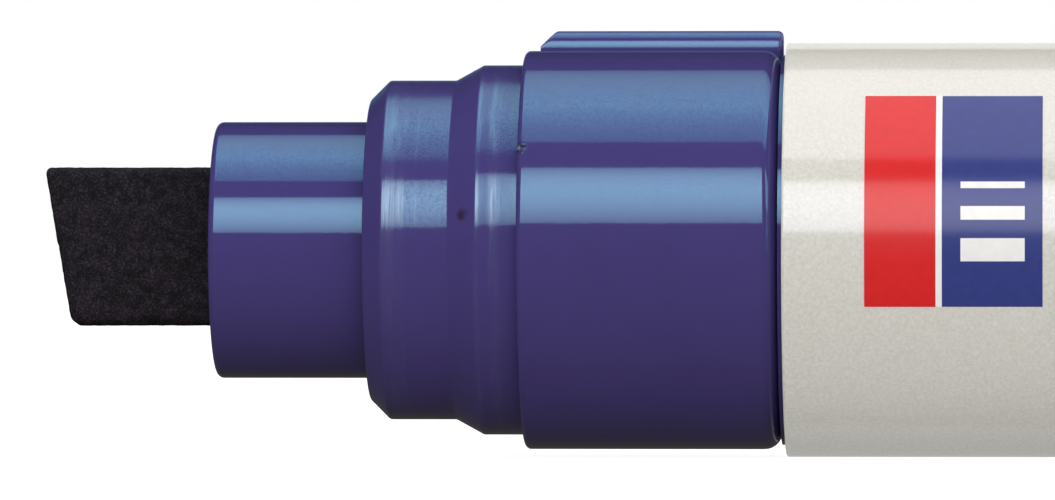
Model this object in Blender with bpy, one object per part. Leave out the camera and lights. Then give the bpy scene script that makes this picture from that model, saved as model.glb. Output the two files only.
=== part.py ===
"""Jumbo permanent marker with a chisel nib, lying on its side with its cap posted on its tail.

Every piece is turned about one axis or laid out along it. Stations on that axis are measured
from the barrel's front rim, positive towards the nib. The marker lies along X with its nib at
-X, the anti-roll rib on top and the barrel resting on Z = 0.
"""

import math

import bmesh
import bpy
from mathutils import Matrix, Vector

# Fineness of the round shapes
SEGMENTS = 48
FILLET_STEPS = 3
CREST_STEPS = 6

# Fits, in metres like every size below
CLEARANCE = 0.0003

# Felt nib: a flat strip on edge, with a slanted writing end and a pointed inner end
NIB_HEIGHT = 0.0115
NIB_THICKNESS = 0.0046
NIB_EXPOSED = 0.0123
NIB_SLANT = math.radians(9.5)
NIB_TIP_ROUND = 0.0006
NIB_HEEL_ROUND = 0.0009
NIB_EDGE_ROUND = 0.0003
NIB_POINT_LENGTH = 0.0025
NIB_POINT_STEP = 0.0012
NIB_FEED = 0.0065

# Collar round the nib, sunk into the nose and snapped behind its front wall
COLLAR_WALL = 0.00355
COLLAR_LENGTH = 0.0112
COLLAR_ROUND = 0.0005
COLLAR_SINK = 0.0006
SPIGOT_STEP = 0.0015
SNAP_BEAD = 0.0005
SNAP_LENGTH = 0.0016
VENT_WIDTH = 0.0016
VENT_DEPTH = 0.0008

# Cap seat: a front ring, a short cone and a rear ring that end at a shoulder
SEAT_FRONT_STEP = 0.0030
SEAT_FRONT_LENGTH = 0.0062
SEAT_CHAMFER = 0.0014
SEAT_CONE_STEP = 0.0011
SEAT_CONE_LENGTH = 0.0020
SEAT_REAR_LENGTH = 0.0030
SEAT_WALL = 0.0018
NOSE_WALL = 0.0024

# Grip with its anti-roll rib
GRIP_STEP = 0.00105
GRIP_LENGTH = 0.0186
GRIP_FRONT_ROUND = 0.0005
GRIP_REAR_ROUND = 0.0007
GRIP_WEB = 0.0030
RIB_HEIGHT = 0.0014
RIB_WIDTH = 0.0021
RIB_FRONT_INSET = 0.0011
RIB_REAR_INSET = 0.0001
RIB_NOSE = 0.0003
RIB_ROOT = 0.0006

# Drawn metal barrel, and the plugs pressed into its ends
BARREL_STEP = 0.00055
BARREL_WALL = 0.0006
BARREL_LENGTH = 0.0800
BARREL_RIM_ROUND = 0.00025
PLUG_LENGTH = 0.0100
PLUG_WALL = 0.0013
PLUG_CHAMFER = 0.0006
SEAL_WIDTH = 0.0010
SEAL_INSET = 0.0040

# Ink reservoir and its film
WRAP_WALL = 0.00025
WRAP_OVERHANG = 0.0010

# Tail
FLANGE_LENGTH = 0.0030
FLANGE_ROUND = 0.0005
TAIL_WALL = 0.0018

# Cap and its sealing liner
TIP_ROOM = 0.0015
LINER_WALL = 0.0010
LINER_GRIP = 0.0080
LINER_ROUND = 0.0006
LINER_SOCKET = 0.0070
CAP_END_WALL = 0.0020
CAP_MOUTH_ROUND = 0.0003
CAP_END_ROUND = 0.0016
CAP_TAPER = 0.00045
CAP_RIM_WIDTH = 0.0030
CAP_DISH = 0.0005

# Radii, from the nib outwards
COLLAR_RADIUS = NIB_HEIGHT / 2 + COLLAR_WALL
SPIGOT_RADIUS = COLLAR_RADIUS - SPIGOT_STEP
SEAT_FRONT_RADIUS = COLLAR_RADIUS + SEAT_FRONT_STEP
SEAT_REAR_RADIUS = SEAT_FRONT_RADIUS + SEAT_CONE_STEP
GRIP_RADIUS = SEAT_REAR_RADIUS + GRIP_STEP
BARREL_RADIUS = GRIP_RADIUS + BARREL_STEP
PLUG_RADIUS = BARREL_RADIUS - BARREL_WALL - CLEARANCE
SEAL_RADIUS = PLUG_RADIUS + CLEARANCE / 2
CHAMBER_RADIUS = PLUG_RADIUS - PLUG_WALL
SEAT_BORE_RADIUS = SEAT_FRONT_RADIUS - SEAT_WALL
WRAP_RADIUS = CHAMBER_RADIUS - CLEARANCE
WADDING_RADIUS = WRAP_RADIUS - WRAP_WALL - CLEARANCE
LINER_BORE_RADIUS = COLLAR_RADIUS + CLEARANCE
LINER_RADIUS = LINER_BORE_RADIUS + LINER_WALL

# Stations along the axis, from the barrel's front rim to the nib's tip
GRIP_REAR = CLEARANCE
SHOULDER = GRIP_REAR + GRIP_LENGTH
SEAT_LENGTH = SEAT_REAR_LENGTH + SEAT_CONE_LENGTH + SEAT_FRONT_LENGTH
NOSE = SHOULDER + SEAT_LENGTH
NOSE_INSIDE = NOSE - COLLAR_SINK - NOSE_WALL
COLLAR_FRONT = NOSE + COLLAR_LENGTH
NIB_TIP = COLLAR_FRONT + NIB_EXPOSED
CHAMBER_FRONT = SHOULDER - GRIP_WEB
WRAP_FRONT = CHAMBER_FRONT - CLEARANCE
NIB_REAR = WRAP_FRONT - WRAP_OVERHANG - NIB_FEED

# Stations from the barrel's rear rim to the cap's end
FLANGE_FRONT = -BARREL_LENGTH - CLEARANCE
TAIL_SHOULDER = FLANGE_FRONT - FLANGE_LENGTH
TAIL_END = TAIL_SHOULDER - SEAT_LENGTH
CHAMBER_REAR = FLANGE_FRONT
WRAP_REAR = CHAMBER_REAR + CLEARANCE
CAP_MOUTH = TAIL_SHOULDER - CLEARANCE
LINER_RIM_DEPTH = SEAT_LENGTH + COLLAR_LENGTH - LINER_GRIP
LINER_FLOOR_DEPTH = SEAT_LENGTH + COLLAR_LENGTH + NIB_EXPOSED + TIP_ROOM
CAP_FLOOR_DEPTH = LINER_FLOOR_DEPTH + LINER_WALL + CLEARANCE
CAP_LENGTH = CAP_FLOOR_DEPTH + CAP_END_WALL + CAP_DISH
CAP_END = CAP_MOUTH - CAP_LENGTH

# The axis lies so high that the barrel's lowest facet rests on the ground
AXIS_HEIGHT = BARREL_RADIUS * math.cos(math.pi / SEGMENTS)
MIDDLE = (NIB_TIP + CAP_END) / 2

SMOOTH_BELOW = math.radians(40)
MERGE_DISTANCE = 1e-6


def clear_scene():
    for thing in list(bpy.data.objects):
        bpy.data.objects.remove(thing, do_unlink=True)


def material(name, colour, roughness, metallic=0.0):
    made = bpy.data.materials.new(name)
    made.use_nodes = True
    shader = made.node_tree.nodes["Principled BSDF"]
    shader.inputs["Base Color"].default_value = (*colour, 1.0)
    shader.inputs["Roughness"].default_value = roughness
    shader.inputs["Metallic"].default_value = metallic
    made.diffuse_color = (*colour, 1.0)
    return made


def empty(name, parent=None, station=0.0):
    made = bpy.data.objects.new(name, None)
    bpy.context.collection.objects.link(made)
    made.parent = parent
    made.location.z = station
    return made


def rounded(corners):
    """Replace each corner (across, along, fillet) by its arc. The fillet may be left out."""
    points = []
    for index, corner in enumerate(corners):
        place = Vector(corner[:2])
        if len(corner) == 2:
            points.append(place)
            continue
        fillet = corner[2]
        before = (Vector(corners[index - 1][:2]) - place).normalized()
        after = (Vector(corners[(index + 1) % len(corners)][:2]) - place).normalized()
        half_angle = before.angle(after) / 2
        centre = place + (before + after).normalized() * fillet / math.sin(half_angle)
        start = place + before * fillet / math.tan(half_angle) - centre
        end = place + after * fillet / math.tan(half_angle) - centre
        for step in range(FILLET_STEPS + 1):
            points.append(centre + start.slerp(end, step / FILLET_STEPS) * fillet)
    return points


def finish(name, shape, parent, look=None):
    """Turn a bmesh into a smooth shaded object under its parent."""
    bmesh.ops.recalc_face_normals(shape, faces=shape.faces)
    mesh = bpy.data.meshes.new(name)
    shape.to_mesh(mesh)
    shape.free()
    mesh.shade_smooth()
    mesh.set_sharp_from_angle(angle=SMOOTH_BELOW)
    piece = bpy.data.objects.new(name, mesh)
    bpy.context.collection.objects.link(piece)
    piece.parent = parent
    if look:
        mesh.materials.append(look)
    return piece


def turned(name, corners, parent, look):
    """Turn an outline of (radius, station) corners about the axis, with a facet at the bottom.

    An outline that starts and ends on the axis makes a solid or a cup, any other one a ring.
    """
    points = rounded(corners)
    shape = bmesh.new()
    outline = [shape.verts.new((point.x, 0, point.y)) for point in points]
    on_axis = corners[0][0] == 0
    following = outline[1:] if on_axis else outline[1:] + outline[:1]
    edges = [shape.edges.new(pair) for pair in zip(outline, following)]
    bmesh.ops.spin(shape, geom=outline + edges, cent=(0, 0, 0), axis=(0, 0, 1),
                   angle=2 * math.pi, steps=SEGMENTS, use_merge=True)
    bmesh.ops.remove_doubles(shape, verts=shape.verts, dist=MERGE_DISTANCE)
    piece = finish(name, shape, parent, look)
    piece.rotation_euler.z = math.pi + math.pi / SEGMENTS
    return piece


def prism(name, outline, direction, parent, look=None):
    """Extrude a flat outline of 3-D points along a direction."""
    shape = bmesh.new()
    face = shape.faces.new([shape.verts.new(point) for point in outline])
    grown = bmesh.ops.extrude_face_region(shape, geom=[face])
    moved = [item for item in grown["geom"] if isinstance(item, bmesh.types.BMVert)]
    bmesh.ops.translate(shape, verts=moved, vec=direction)
    return finish(name, shape, parent, look)


def combine(piece, tool, operation):
    """Cut a piece with a tool or join the tool to it. The tool itself is not shown."""
    tool.hide_render = True
    tool.display_type = 'WIRE'
    change = piece.modifiers.new(tool.name, 'BOOLEAN')
    change.operation = operation
    change.object = tool


def make_nib(axis, felt):
    """Felt strip, modelled from its inner end, with its long edge on top at the tip."""
    top = NIB_HEIGHT / 2
    length = NIB_TIP - NIB_REAR
    setback = NIB_HEIGHT * math.tan(NIB_SLANT)
    side = rounded([
        (top, length, NIB_TIP_ROUND),
        (top, NIB_POINT_LENGTH),
        (top - NIB_POINT_STEP, 0),
        (NIB_POINT_STEP - top, 0),
        (-top, NIB_POINT_LENGTH),
        (-top, length - setback, NIB_HEEL_ROUND),
    ])
    outline = [(point.x, -NIB_THICKNESS / 2, point.y) for point in side]
    nib = prism("nib", outline, (0, NIB_THICKNESS, 0), axis, felt)
    nib.location.z = NIB_REAR
    edges = nib.modifiers.new("worn edges", 'BEVEL')
    edges.width = NIB_EDGE_ROUND
    edges.segments = 2
    edges.limit_method = 'ANGLE'
    edges.angle_limit = math.radians(60)


def channel_outline(station, vents):
    """Section of the space round the nib, with an air groove on each flat if it is vented."""
    high = NIB_HEIGHT / 2 + CLEARANCE
    side = NIB_THICKNESS / 2 + CLEARANCE
    groove = VENT_WIDTH / 2
    deep = side + VENT_DEPTH
    half = [(high, side), (-high, side)]
    if vents:
        half[1:1] = [(groove, side), (groove, deep), (-groove, deep), (-groove, side)]
    mirrored = [(-across, -along) for across, along in half]
    return [(across, along, station) for across, along in half + mirrored]


def make_collar(axis, plastic):
    """Collar with a spigot through the nose's front wall, a snap bead and the nib's channel."""
    seat = NOSE - COLLAR_SINK + CLEARANCE
    catch = NOSE_INSIDE - CLEARANCE
    rear = catch - SNAP_LENGTH
    bead = SPIGOT_RADIUS + SNAP_BEAD + CLEARANCE
    collar = turned("nib_collar", [
        (0, COLLAR_FRONT),
        (COLLAR_RADIUS, COLLAR_FRONT, COLLAR_ROUND),
        (COLLAR_RADIUS, seat),
        (SPIGOT_RADIUS, seat),
        (SPIGOT_RADIUS, catch),
        (bead, catch),
        (SPIGOT_RADIUS, rear),
        (0, rear),
    ], axis, plastic)
    margin = COLLAR_LENGTH
    outline = channel_outline(rear - margin, vents=True)
    channel = prism("nib_channel", outline, (0, 0, COLLAR_FRONT - rear + 2 * margin), axis)
    combine(collar, channel, 'DIFFERENCE')


def seat_corners(shoulder, outward):
    """Corners of a cap seat from its shoulder to its chamfered end, at shoulder + outward * length."""
    rear_ring = shoulder + outward * SEAT_REAR_LENGTH
    cone = rear_ring + outward * SEAT_CONE_LENGTH
    end = shoulder + outward * SEAT_LENGTH
    return [
        (SEAT_REAR_RADIUS, shoulder),
        (SEAT_REAR_RADIUS, rear_ring),
        (SEAT_FRONT_RADIUS, cone),
        (SEAT_FRONT_RADIUS, end - outward * SEAT_CHAMFER),
        (SEAT_FRONT_RADIUS - SEAT_CHAMFER, end),
    ]


def plug_corners(root, outward):
    """Outside of a plug from its root at a barrel rim to its free end, with two sealing beads."""
    end = root + outward * PLUG_LENGTH
    corners = [(PLUG_RADIUS, root)]
    for inset in (SEAL_INSET, SEAL_INSET + 2 * SEAL_WIDTH):
        middle = root + outward * inset
        half = outward * SEAL_WIDTH / 2
        corners.append((PLUG_RADIUS, middle - half))
        corners.append((SEAL_RADIUS, middle))
        corners.append((PLUG_RADIUS, middle + half))
    corners.append((PLUG_RADIUS, end - outward * PLUG_CHAMFER))
    corners.append((PLUG_RADIUS - PLUG_CHAMFER, end))
    return corners


def make_rib(axis):
    """Anti-roll rib: half an ellipse on the grip's surface, with a ramp at its front end."""
    root = GRIP_RADIUS - RIB_ROOT
    half = RIB_WIDTH / 2
    rear = GRIP_REAR + RIB_REAR_INSET
    front = SHOULDER - RIB_FRONT_INSET
    section = [(root, -half)]
    for step in range(CREST_STEPS + 1):
        turn = math.pi * (step / CREST_STEPS - 0.5)
        section.append((GRIP_RADIUS + RIB_HEIGHT * math.cos(turn), half * math.sin(turn)))
    section.append((root, half))
    outline = [(across, along, rear) for across, along in section]
    rib = prism("anti_roll_rib", outline, (0, 0, front - rear), axis)
    shape = bmesh.new()
    shape.from_mesh(rib.data)
    ramp = bmesh.ops.bisect_plane(shape, geom=shape.verts[:] + shape.edges[:] + shape.faces[:],
                                  plane_co=(GRIP_RADIUS + RIB_NOSE, 0, front), plane_no=(1, 0, 1),
                                  clear_outer=True)
    cut_edges = [item for item in ramp["geom_cut"] if isinstance(item, bmesh.types.BMEdge)]
    bmesh.ops.holes_fill(shape, edges=cut_edges)
    bmesh.ops.recalc_face_normals(shape, faces=shape.faces)
    shape.to_mesh(rib.data)
    shape.free()
    return rib


def make_front_section(axis, plastic):
    """Cap seat, grip and plug in one moulding, hollow for the reservoir and open for the collar."""
    bore = SPIGOT_RADIUS + CLEARANCE
    recess = COLLAR_RADIUS + CLEARANCE
    sunk = NOSE - COLLAR_SINK
    plug = plug_corners(GRIP_REAR, -1)
    plug_end = plug[-1][1]
    corners = [(bore, sunk), (recess, sunk), (recess, NOSE)]
    corners += reversed(seat_corners(SHOULDER, 1))
    corners += [
        (GRIP_RADIUS, SHOULDER, GRIP_FRONT_ROUND),
        (GRIP_RADIUS, GRIP_REAR, GRIP_REAR_ROUND),
    ]
    corners += plug
    corners += [
        (CHAMBER_RADIUS, plug_end),
        (CHAMBER_RADIUS, CHAMBER_FRONT),
        (SEAT_BORE_RADIUS, CHAMBER_FRONT),
        (SEAT_BORE_RADIUS, NOSE_INSIDE),
        (bore, NOSE_INSIDE),
    ]
    section = turned("front_section", corners, axis, plastic)
    combine(section, make_rib(axis), 'UNION')


def make_barrel(axis, metal):
    inside = BARREL_RADIUS - BARREL_WALL
    turned("barrel", [
        (BARREL_RADIUS, 0, BARREL_RIM_ROUND),
        (BARREL_RADIUS, -BARREL_LENGTH, BARREL_RIM_ROUND),
        (inside, -BARREL_LENGTH),
        (inside, 0),
    ], axis, metal)


def make_reservoir(axis, wadding, film):
    """Fibre wadding with a pocket for the nib's inner end, in a film sleeve that overhangs it."""
    front = WRAP_FRONT - WRAP_OVERHANG
    rear = WRAP_REAR + WRAP_OVERHANG
    core = turned("ink_reservoir", [
        (0, front),
        (WADDING_RADIUS, front),
        (WADDING_RADIUS, rear),
        (0, rear),
    ], axis, wadding)
    floor = NIB_REAR - CLEARANCE
    pocket = prism("nib_pocket", channel_outline(floor, vents=False), (0, 0, 2 * (front - floor)), axis)
    combine(core, pocket, 'DIFFERENCE')
    turned("reservoir_wrap", [
        (WRAP_RADIUS, WRAP_FRONT),
        (WRAP_RADIUS, WRAP_REAR),
        (WRAP_RADIUS - WRAP_WALL, WRAP_REAR),
        (WRAP_RADIUS - WRAP_WALL, WRAP_FRONT),
    ], axis, film)


def make_tail_plug(axis, plastic):
    """Plug that closes the barrel, holds the reservoir's end and carries a cap seat like the nose."""
    plug = plug_corners(FLANGE_FRONT, 1)
    plug_end = plug[-1][1]
    end_inside = TAIL_END + TAIL_WALL
    corners = [
        (0, end_inside),
        (SEAT_BORE_RADIUS, end_inside),
        (SEAT_BORE_RADIUS, CHAMBER_REAR),
        (CHAMBER_RADIUS, CHAMBER_REAR),
        (CHAMBER_RADIUS, plug_end),
    ]
    corners += reversed(plug)
    corners += [
        (GRIP_RADIUS, FLANGE_FRONT, FLANGE_ROUND),
        (GRIP_RADIUS, TAIL_SHOULDER, FLANGE_ROUND),
    ]
    corners += seat_corners(TAIL_SHOULDER, -1)
    corners += [(0, TAIL_END)]
    turned("tail_plug", corners, axis, plastic)


def make_cap(axis, plastic, liner_plastic):
    """Cap whose stepped bore fits either seat, with a liner that seals round the collar."""
    cap_axis = empty("cap_axis", axis, CAP_MOUTH)
    rear_bore = SEAT_REAR_RADIUS + CLEARANCE
    front_bore = SEAT_FRONT_RADIUS + CLEARANCE
    socket = LINER_RADIUS + CLEARANCE
    socket_rim = CAP_FLOOR_DEPTH - LINER_SOCKET
    socket_lead = front_bore - socket
    end_radius = GRIP_RADIUS - CAP_TAPER
    dish_radius = end_radius - CAP_RIM_WIDTH
    dish_depth = CAP_LENGTH - CAP_DISH
    turned("cap_shell", [
        (0, -CAP_FLOOR_DEPTH),
        (socket, -CAP_FLOOR_DEPTH),
        (socket, -socket_rim),
        (front_bore, socket_lead - socket_rim),
        (front_bore, -SEAT_REAR_LENGTH - SEAT_CONE_LENGTH),
        (rear_bore, -SEAT_REAR_LENGTH),
        (rear_bore, 0),
        (GRIP_RADIUS, 0, CAP_MOUTH_ROUND),
        (end_radius, -CAP_LENGTH, CAP_END_ROUND),
        (dish_radius, -CAP_LENGTH),
        (dish_radius - CAP_DISH, -dish_depth),
        (0, -dish_depth),
    ], cap_axis, plastic)
    liner_end = LINER_FLOOR_DEPTH + LINER_WALL
    turned("cap_liner", [
        (0, -LINER_FLOOR_DEPTH),
        (LINER_BORE_RADIUS, -LINER_FLOOR_DEPTH),
        (LINER_BORE_RADIUS, -LINER_RIM_DEPTH),
        (LINER_RADIUS, -LINER_RIM_DEPTH),
        (LINER_RADIUS, -liner_end, LINER_ROUND),
        (0, -liner_end),
    ], cap_axis, liner_plastic)


def main():
    clear_scene()
    blue = material("blue_plastic", (0.045, 0.040, 0.190), 0.25)
    felt = material("nib_felt", (0.012, 0.011, 0.016), 0.95)
    metal = material("barrel_metal", (0.70, 0.69, 0.66), 0.35, 1.0)
    wadding = material("wadding", (0.030, 0.028, 0.060), 1.0)
    film = material("film", (0.75, 0.76, 0.78), 0.30)
    liner = material("liner_plastic", (0.80, 0.80, 0.78), 0.45)

    axis = empty("marker_axis")
    axis.matrix_world = Matrix.Translation((MIDDLE, 0, AXIS_HEIGHT)) @ Matrix.Rotation(-math.pi / 2, 4, 'Y')
    make_nib(axis, felt)
    make_collar(axis, blue)
    make_front_section(axis, blue)
    make_barrel(axis, metal)
    make_reservoir(axis, wadding, film)
    make_tail_plug(axis, blue)
    make_cap(axis, blue, liner)


main()
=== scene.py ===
"""Looks of a jumbo permanent marker: glossy blue mouldings, black felt nib, satin silver barrel.

Every piece is rebuilt finely over its node of the frame, in the frame's own metres. The marker
lies along X with its nib at -X. Round pieces are turned about the line through the barrel.
"""

import math

import bmesh
import bpy
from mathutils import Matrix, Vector, noise


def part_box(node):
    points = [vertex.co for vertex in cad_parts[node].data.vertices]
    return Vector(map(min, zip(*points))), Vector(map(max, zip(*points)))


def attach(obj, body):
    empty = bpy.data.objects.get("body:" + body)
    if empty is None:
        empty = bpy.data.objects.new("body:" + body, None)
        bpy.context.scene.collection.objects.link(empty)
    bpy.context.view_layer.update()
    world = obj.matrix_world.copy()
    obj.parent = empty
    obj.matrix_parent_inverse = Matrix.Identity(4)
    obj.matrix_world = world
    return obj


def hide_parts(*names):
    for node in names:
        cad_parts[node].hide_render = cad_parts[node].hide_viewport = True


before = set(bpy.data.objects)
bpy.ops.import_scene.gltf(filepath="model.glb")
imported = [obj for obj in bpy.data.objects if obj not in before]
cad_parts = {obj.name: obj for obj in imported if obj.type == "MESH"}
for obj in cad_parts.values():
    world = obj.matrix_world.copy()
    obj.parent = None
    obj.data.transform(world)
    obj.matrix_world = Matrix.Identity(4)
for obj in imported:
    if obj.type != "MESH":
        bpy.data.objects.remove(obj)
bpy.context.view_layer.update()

# Places and radii that the frame gives
BARREL_LOW, BARREL_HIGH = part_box("barrel")
FRONT_LOW, FRONT_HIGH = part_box("front_section")
COLLAR_LOW, COLLAR_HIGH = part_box("nib_collar")
NIB_LOW, NIB_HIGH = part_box("nib")
TAIL_LOW, TAIL_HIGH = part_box("tail_plug")
CAP_LOW, CAP_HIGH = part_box("cap_shell")
LINER_LOW, LINER_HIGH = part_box("cap_liner")
WADDING_LOW, WADDING_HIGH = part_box("ink_reservoir")
WRAP_LOW, WRAP_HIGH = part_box("reservoir_wrap")
AXIS_Z = (BARREL_LOW.z + BARREL_HIGH.z) / 2
BARREL_RADIUS = (BARREL_HIGH.z - BARREL_LOW.z) / 2
GRIP_RADIUS = FRONT_HIGH.y
COLLAR_RADIUS = COLLAR_HIGH.y
CAP_RADIUS = CAP_HIGH.y
LINER_RADIUS = LINER_HIGH.y
WRAP_RADIUS = WRAP_HIGH.y
WADDING_RADIUS = WADDING_HIGH.y
NIB_LENGTH = NIB_HIGH.x - NIB_LOW.x
NIB_TOP = (NIB_HIGH.z - NIB_LOW.z) / 2
NIB_SIDE = NIB_HIGH.y

# Sizes of the shapes inside those boxes, in metres
CLEARANCE = 0.0003
SEAT_FRONT_RADIUS = 0.01228
SEAT_REAR_RADIUS = 0.01338
SEAT_REAR_LENGTH = 0.0030
SEAT_CONE_LENGTH = 0.0020
SEAT_LENGTH = 0.0112
SEAT_BORE_RADIUS = 0.0105
SEAT_CHAMFER = 0.00140
SEAT_CHAMFER_ROUND = 0.00035
CONE_ROUND = 0.0004
NOSE_WALL = 0.0024
COLLAR_SINK = 0.0006
COLLAR_ROUND = 0.00048
SPIGOT_RADIUS = 0.0078
VENT_WIDTH = 0.0016
VENT_DEPTH = 0.0008
GRIP_FRONT_ROUND = 0.0004
GRIP_REAR_ROUND = 0.0013
RIB_WIDTH = 0.0021
RIB_FRONT_INSET = 0.0011
RIB_REAR_GAP = 0.00024
RIB_NOSE = 0.0003
RIB_ROOT = 0.0014
RIB_REAR_ROUND = 0.0004
RAMP_BLEND = 0.0002
PLUG_RADIUS = 0.0141
PLUG_BORE_RADIUS = 0.0128
BARREL_WALL = 0.0006
BARREL_RIM_ROUND = 0.00022
FLANGE_LENGTH = 0.0030
FLANGE_ROUND = 0.0005
TAIL_WALL = 0.0018
CAP_WALL_FLOOR = 0.0025
CAP_END_ROUND = 0.0016
CAP_TAPER = 0.00045
CAP_RIM_WIDTH = 0.0030
CAP_DISH = 0.0005
LINER_WALL = 0.0010
LINER_SOCKET = 0.0070
WRAP_WALL = 0.00025

# Nib: its shape, the roughness of its felt, and half the hole that it runs in
NIB_EXPOSED = 0.0123
NIB_SLANT = math.radians(9.5)
NIB_TIP_ROUND = 0.00055
NIB_HEEL_ROUND = 0.00095
NIB_POINT_LENGTH = 0.0025
NIB_POINT_STEP = 0.0012
NIB_CELL = 0.00022
NIB_REACH = 0.00028
NIB_RISE = 0.00025
NIB_LUMP = 0.0011
NIB_LUMP_DEPTH = 0.00003
NIB_FIBRE = 0.00035
NIB_FIBRE_DEPTH = 0.000035
NIB_SINK = 0.00003
CHANNEL_TOP = NIB_TOP + CLEARANCE
CHANNEL_SIDE = NIB_SIDE + CLEARANCE

# Printed panel: distance from the barrel's front rim, angles up from the side that faces the viewer
PANEL_START = 0.0059
PANEL_LENGTH = 0.01264
PANEL_TOP = math.radians(47.1)
PANEL_BOTTOM = math.radians(-15.6)
INK_HEIGHT = 0.00002

# Its layout, in shares of its length and height. Each stroke has a lower edge and a width.
COLUMN_SHARE = 0.40
RULE_SHARE = 0.035
STROKE_LEFT = 0.54
STROKE_RIGHT = 0.90
STROKES = ((0.20, 0.10), (0.38, 0.06), (0.52, 0.03))

# Fineness
SEGMENTS = 160
FILLET_STEPS = 7
RAMP_STEPS = 24
RIB_STEPS = 28
PRINT_COLUMNS = 12
PRINT_ROWS = 48
SMOOTH_BELOW = math.radians(35)

# Camera, from the photograph: one pixel is the barrel's 30 mm over 414 pixels
PIXEL = 0.030 / 414
IMAGE_WIDTH = 1055
BARREL_RIM_PIXEL = 787
CAMERA_DISTANCE = 0.75
CAMERA_AZIMUTH = math.radians(3.1)
SENSOR_WIDTH = 36.0
CLIP_NEAR = 0.01
CLIP_FAR = 100.0


def rounded(corners):
    """Replace each corner (along, radius, fillet) by its arc. The fillet may be left out."""
    points = []
    for index, corner in enumerate(corners):
        place = Vector(corner[:2])
        if len(corner) == 2:
            points.append(place)
            continue
        fillet = corner[2]
        before = (Vector(corners[index - 1][:2]) - place).normalized()
        after = (Vector(corners[(index + 1) % len(corners)][:2]) - place).normalized()
        half_angle = before.angle(after) / 2
        centre = place + (before + after).normalized() * fillet / math.sin(half_angle)
        start = place + before * fillet / math.tan(half_angle) - centre
        end = place + after * fillet / math.tan(half_angle) - centre
        for step in range(FILLET_STEPS + 1):
            points.append(centre + start.slerp(end, step / FILLET_STEPS) * fillet)
    return points


def finish_piece(name, shape, look, smooth=True):
    """Turn a bmesh into an object with its material, smooth except at sharp edges."""
    bmesh.ops.recalc_face_normals(shape, faces=shape.faces)
    mesh = bpy.data.meshes.new(name)
    shape.to_mesh(mesh)
    shape.free()
    if smooth:
        mesh.shade_smooth()
        mesh.set_sharp_from_angle(angle=SMOOTH_BELOW)
    piece = bpy.data.objects.new(name, mesh)
    bpy.context.scene.collection.objects.link(piece)
    mesh.materials.append(look)
    return piece


def even_normals(piece):
    """Let large faces set the shading, so that a fillet does not bend the light on its flats."""
    weighted = piece.modifiers.new("even normals", 'WEIGHTED_NORMAL')
    weighted.keep_sharp = True


def bridge(shape, loop, other):
    """Faces between two loops of points, one of which may be a single point."""
    count = max(len(loop), len(other))
    for step in range(count):
        ahead = (step + 1) % count
        quad = [loop[step % len(loop)], loop[ahead % len(loop)],
                other[ahead % len(other)], other[step % len(other)]]
        shape.faces.new(list(dict.fromkeys(quad)))


def lathe(name, corners, look):
    """Turn an outline of (x, radius) corners about the marker's axis.

    An outline that starts on the axis also ends there. Any other one is closed into a ring.
    """
    shape = bmesh.new()
    rings = []
    for along, radius in rounded(corners):
        if radius == 0:
            rings.append([shape.verts.new((along, 0, AXIS_Z))])
            continue
        ring = []
        for step in range(SEGMENTS):
            turn = 2 * math.pi * step / SEGMENTS
            across = radius * math.cos(turn)
            up = radius * math.sin(turn)
            ring.append(shape.verts.new((along, across, AXIS_Z + up)))
        rings.append(ring)
    following = rings[1:]
    if corners[0][1] != 0:
        following.append(rings[0])
    for ring, other in zip(rings, following):
        bridge(shape, ring, other)
    return finish_piece(name, shape, look)


def prism(name, outline, direction, look):
    """Extrude a flat outline of 3-D points along a direction."""
    shape = bmesh.new()
    face = shape.faces.new([shape.verts.new(point) for point in outline])
    grown = bmesh.ops.extrude_face_region(shape, geom=[face])
    moved = [item for item in grown["geom"] if isinstance(item, bmesh.types.BMVert)]
    bmesh.ops.translate(shape, verts=moved, vec=direction)
    return finish_piece(name, shape, look, smooth=False)


def apply_modifiers(piece):
    """Replace a piece's mesh by the one its modifiers make."""
    graph = bpy.context.evaluated_depsgraph_get()
    made = bpy.data.meshes.new_from_object(piece.evaluated_get(graph))
    piece.modifiers.clear()
    piece.data = made


def cut(piece, cutter):
    """Cut a piece with another object, which is then removed."""
    change = piece.modifiers.new("cut", 'BOOLEAN')
    change.operation = 'DIFFERENCE'
    change.object = cutter
    apply_modifiers(piece)
    bpy.data.objects.remove(cutter, do_unlink=True)
    piece.data.shade_smooth()
    piece.data.set_sharp_from_angle(angle=SMOOTH_BELOW)


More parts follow.
